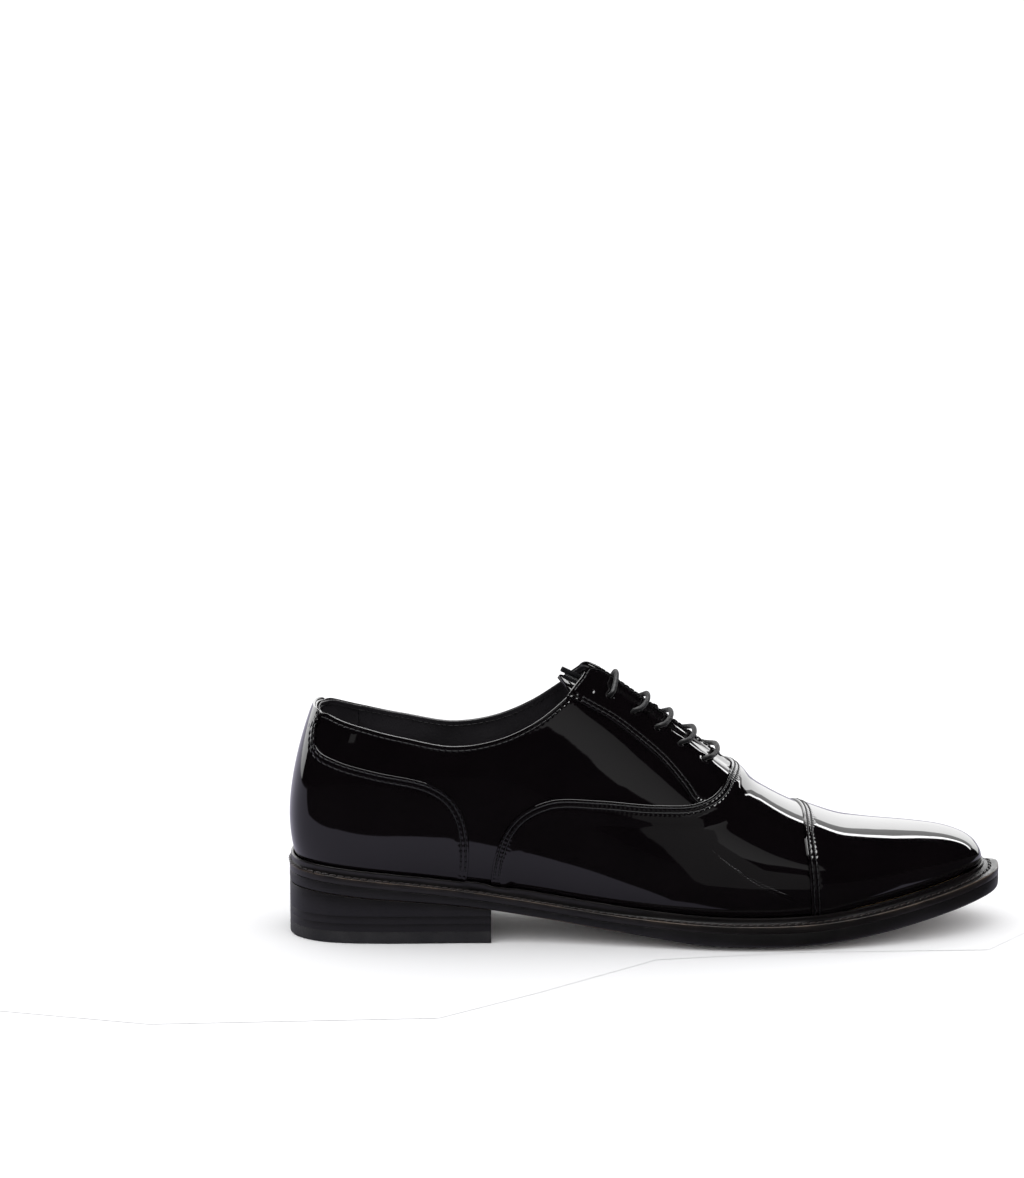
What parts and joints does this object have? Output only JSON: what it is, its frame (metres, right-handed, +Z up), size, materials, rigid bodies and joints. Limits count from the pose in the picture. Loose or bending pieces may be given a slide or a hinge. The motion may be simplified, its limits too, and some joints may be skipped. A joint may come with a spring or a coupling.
{
  "type": "cap-toe oxford shoe",
  "caption": "Black patent leather cap-toe oxford for the right foot, closed bar lacing, storm-welted leather sole, stacked heel and a hinged tongue.",
  "frame": {"origin": "middle of the shoe's outline at ground level", "axes": "+X towards the toe, -Y towards the outer side of the foot, +Z up"},
  "size_m": [0.3081, 0.1024, 0.1143],
  "materials": {
    "patent_leather": "high-gloss black patent leather",
    "lining_leather": "smooth dark grey lining leather, half matt",
    "stiffener": "starched stiffener board",
    "insole_leather": "undyed insole leather",
    "cork": "ground cork paste",
    "shank_steel": "tempered steel strip",
    "welt_leather": "black-brown stained welt leather, half gloss",
    "sole_leather": "black-brown stained and waxed sole leather",
    "heel_leather": "black-brown stained stacked leather, burnished",
    "heel_rubber": "black rubber, matt",
    "nail_brass": "dull brass",
    "waxed_lace": "round waxed cotton lace, black",
    "aglet_plastic": "black plastic lace tip"
  },
  "bodies": {
    "shoe": {"toe_cap": "patent_leather", "vamp": "patent_leather", "quarter_lateral": "patent_leather", "quarter_medial": "patent_leather", "facing_lateral": "patent_leather", "facing_medial": "patent_leather", "counter_cover": "patent_leather", "toe_puff": "stiffener", "heel_stiffener": "stiffener", "vamp_lining": "lining_leather", "quarter_lining_lateral": "lining_leather", "quarter_lining_medial": "lining_leather", "heel_grip": "lining_leather", "insole": "insole_leather", "sock_lining": "lining_leather", "cork_filler": "cork", "shank": "shank_steel", "welt": "welt_leather", "outsole": "sole_leather", "heel_wedge": "heel_leather", "heel_lift_upper": "heel_leather", "heel_lift_lower": "heel_leather", "top_lift": "heel_rubber", "heel_nails": "nail_brass", "lace": "waxed_lace", "aglets": "aglet_plastic"},
    "tongue": {"tongue": "patent_leather", "tongue_lining": "lining_leather"}
  },
  "joints": [
    {"name": "tongue_flex", "type": "hinge", "parent": "shoe", "child": "tongue", "pos_m": [0.037, 0, 0.059], "axis": [0, -1, 0], "range_deg": [0, 12], "stiffness_Nm_per_rad": 0.02}
  ]
}
